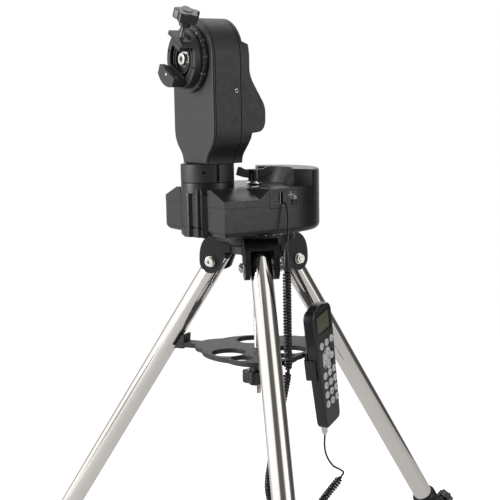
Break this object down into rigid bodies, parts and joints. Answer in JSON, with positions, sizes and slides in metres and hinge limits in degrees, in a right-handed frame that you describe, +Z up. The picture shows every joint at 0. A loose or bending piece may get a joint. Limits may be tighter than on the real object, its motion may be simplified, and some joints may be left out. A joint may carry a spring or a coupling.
{
  "type": "telescope alt-azimuth mount",
  "caption": "Motorised single-arm alt-azimuth telescope mount on a folding tube tripod with accessory tray, coiled cable and hand controller.",
  "frame": {"origin": "centre of the lower end of the tripod's centre rod, on the azimuth axis", "axes": "+Z up along the azimuth axis; the saddle faces -X, the battery drum is at +X and the control panel faces -Y"},
  "size_m": [0.7414, 0.8153, 0.9771],
  "materials": {
    "black_shell": "fine satin grain",
    "black_paint": "fine crinkle paint",
    "tripod_plastic": "satin moulded",
    "tube_steel": "polished stainless",
    "bright_steel": "plated",
    "brass": "machined",
    "rubber": "matt",
    "cord": "satin",
    "tray": "satin moulded",
    "keys": "matt",
    "window": "clear window",
    "vial": "clear vial",
    "cells": "plain"
  },
  "bodies": {
    "tripod_hub": {"tripod_head": "tripod_plastic", "azimuth_dial": "tripod_plastic", "azimuth_shaft": "bright_steel", "azimuth_worm_wheel": "brass", "centre_rod": "bright_steel", "pivot_bolt_near": "bright_steel", "pivot_bolt_left": "bright_steel", "pivot_bolt_right": "bright_steel", "cable_coil": "cord"},
    "leg_near": {"leg_head_near": "tripod_plastic", "upper_tube_near": "tube_steel", "leg_clamp_near": "tripod_plastic"},
    "lower_leg_near": {"lower_tube_near": "tube_steel", "foot_near": "rubber"},
    "lock_knob_near": {"lock_knob_near": "tripod_plastic"},
    "leg_left": {"leg_head_left": "tripod_plastic", "upper_tube_left": "tube_steel", "leg_clamp_left": "tripod_plastic"},
    "lower_leg_left": {"lower_tube_left": "tube_steel", "foot_left": "rubber"},
    "lock_knob_left": {"lock_knob_left": "tripod_plastic"},
    "leg_right": {"leg_head_right": "tripod_plastic", "upper_tube_right": "tube_steel", "leg_clamp_right": "tripod_plastic"},
    "lower_leg_right": {"lower_tube_right": "tube_steel", "foot_right": "rubber"},
    "lock_knob_right": {"lock_knob_right": "tripod_plastic"},
    "tray": {"accessory_tray": "tray", "handset_holder": "black_shell", "cable_lower": "cord"},
    "tray_knob": {"tray_knob": "tripod_plastic"},
    "handset": {"handset_front": "black_shell", "handset_back": "black_shell", "handset_window": "window"},
    "keypad": {"handset_keypad": "keys"},
    "base": {"base_lower_shell": "black_shell", "base_deck": "black_shell", "end_block": "black_shell", "battery_pack": "cells", "control_panel": "black_shell", "bubble_level": "vial", "azimuth_motor": "bright_steel", "cable_upper": "cord"},
    "battery_cover": {"battery_cover": "black_shell"},
    "power_switch": {"power_switch": "black_shell"},
    "azimuth_worm": {"azimuth_worm": "bright_steel"},
    "azimuth_clutch_knob": {"azimuth_clutch_knob": "black_shell"},
    "altitude_worm": {"altitude_worm": "bright_steel"},
    "clamp_pad": {"clamp_pad": "bright_steel"},
    "clamp_knob": {"clamp_knob": "black_shell"},
    "arm": {"arm_front_cover": "black_paint", "arm_body": "black_paint", "arm_rear_cover": "black_shell", "arm_collar": "black_paint", "altitude_motor": "bright_steel"},
    "saddle": {"saddle": "black_paint", "altitude_shaft": "bright_steel", "altitude_worm_wheel": "brass", "saddle_bolt": "bright_steel"}
  },
  "joints": [
    {"name": "azimuth", "type": "hinge", "parent": "tripod_hub", "child": "base", "pos_m": [0, 0, 0.25], "axis": [0, 0, 1], "continuous": true},
    {"name": "azimuth_worm_spin", "type": "hinge", "parent": "base", "child": "azimuth_worm", "pos_m": [0, 0.036, 0.266], "axis": [1, 0, 0], "continuous": true},
    {"name": "azimuth_clutch_turn", "type": "hinge", "parent": "base", "child": "azimuth_clutch_knob", "pos_m": [0, 0, 0.33], "axis": [0, 0, 1], "range_deg": [0, 90]},
    {"name": "battery_cover_lift", "type": "slide", "parent": "base", "child": "battery_cover", "axis": [0, 0, 1], "range_m": [0, 0.06]},
    {"name": "power_switch_rock", "type": "hinge", "parent": "base", "child": "power_switch", "pos_m": [0.0125, -0.0846, 0.2965], "axis": [1, 0, 0], "range_deg": [-6, 6]},
    {"name": "arm_swivel", "type": "hinge", "parent": "base", "child": "arm", "pos_m": [-0.08, 0, 0.34], "axis": [0, 0, 1], "range_deg": [-90, 90]},
    {"name": "altitude", "type": "hinge", "parent": "arm", "child": "saddle", "pos_m": [-0.1, 0, 0.501], "axis": [1, 0, 0], "continuous": true},
    {"name": "altitude_worm_spin", "type": "hinge", "parent": "arm", "child": "altitude_worm", "pos_m": [-0.08, 0, 0.465], "axis": [0, 1, 0], "continuous": true},
    {"name": "clamp_pad_slide", "type": "slide", "parent": "saddle", "child": "clamp_pad", "axis": [0, 0.4695, -0.8829], "range_m": [0, 0.006]},
    {"name": "clamp_knob_turn", "type": "hinge", "parent": "clamp_pad", "child": "clamp_knob", "pos_m": [-0.128, -0.02789, 0.5428], "axis": [0, -0.4695, 0.8829], "range_deg": [0, 2160]},
    {"name": "tray_slide", "type": "slide", "parent": "tripod_hub", "child": "tray", "axis": [0, 0, -1], "range_m": [0, 0.09]},
    {"name": "tray_knob_turn", "type": "hinge", "parent": "tray", "child": "tray_knob", "pos_m": [0, 0, 0.03], "axis": [0, 0, 1], "range_deg": [0, 360]},
    {"name": "leg_fold_near", "type": "hinge", "parent": "tripod_hub", "child": "leg_near", "pos_m": [-0.02715, -0.05718, 0.203], "axis": [0.9033, -0.4289, 0], "range_deg": [0, 11.7]},
    {"name": "leg_extend_near", "type": "slide", "parent": "leg_near", "child": "lower_leg_near", "axis": [-0.2362, -0.4975, -0.8347], "range_m": [0, 0.35]},
    {"name": "leg_lock_turn_near", "type": "hinge", "parent": "leg_near", "child": "lock_knob_near", "pos_m": [-0.17657, -0.37185, -0.27042], "axis": [-0.358, -0.754, 0.5508], "range_deg": [0, 360]},
    {"name": "leg_fold_left", "type": "hinge", "parent": "tripod_hub", "child": "leg_left", "pos_m": [-0.03594, 0.0521, 0.203], "axis": [-0.8231, -0.5678, 0], "range_deg": [0, 11.7]},
    {"name": "leg_extend_left", "type": "slide", "parent": "leg_left", "child": "lower_leg_left", "axis": [-0.3128, 0.4534, -0.8347], "range_m": [0, 0.35]},
    {"name": "leg_lock_turn_left", "type": "hinge", "parent": "leg_left", "child": "lock_knob_left", "pos_m": [-0.23375, 0.33884, -0.27042], "axis": [-0.474, 0.687, 0.5508], "range_deg": [0, 360]},
    {"name": "leg_fold_right", "type": "hinge", "parent": "tripod_hub", "child": "leg_right", "pos_m": [0.0631, 0.00508, 0.203], "axis": [-0.0802, 0.9968, 0], "range_deg": [0, 11.7]},
    {"name": "leg_extend_right", "type": "slide", "parent": "leg_right", "child": "lower_leg_right", "axis": [0.549, 0.0442, -0.8347], "range_m": [0, 0.35]},
    {"name": "leg_lock_turn_right", "type": "hinge", "parent": "leg_right", "child": "lock_knob_right", "pos_m": [0.41032, 0.03301, -0.27042], "axis": [0.832, 0.0669, 0.5508], "range_deg": [0, 360]},
    {"name": "handset_lift", "type": "slide", "parent": "tray", "child": "handset", "axis": [-0.1853, -0.0944, 0.9781], "range_m": [0, 0.08]},
    {"name": "keypad_press", "type": "slide", "parent": "handset", "child": "keypad", "axis": [-0.454, 0.891, 0], "range_m": [0, 0.001], "stiffness_N_per_m": 800, "springref_m": -0.0005}
  ],
  "couplings": [
    {"joint": "azimuth_worm_spin", "follows": "azimuth", "ratio": 30},
    {"joint": "altitude_worm_spin", "follows": "altitude", "ratio": 30},
    {"joint": "clamp_knob_turn", "follows": "clamp_pad_slide", "rad_per_m": 6283},
    {"joint": "leg_fold_near", "follows": "tray_slide", "rad_per_m": 2.25},
    {"joint": "leg_fold_left", "follows": "tray_slide", "rad_per_m": 2.25},
    {"joint": "leg_fold_right", "follows": "tray_slide", "rad_per_m": 2.25}
  ]
}
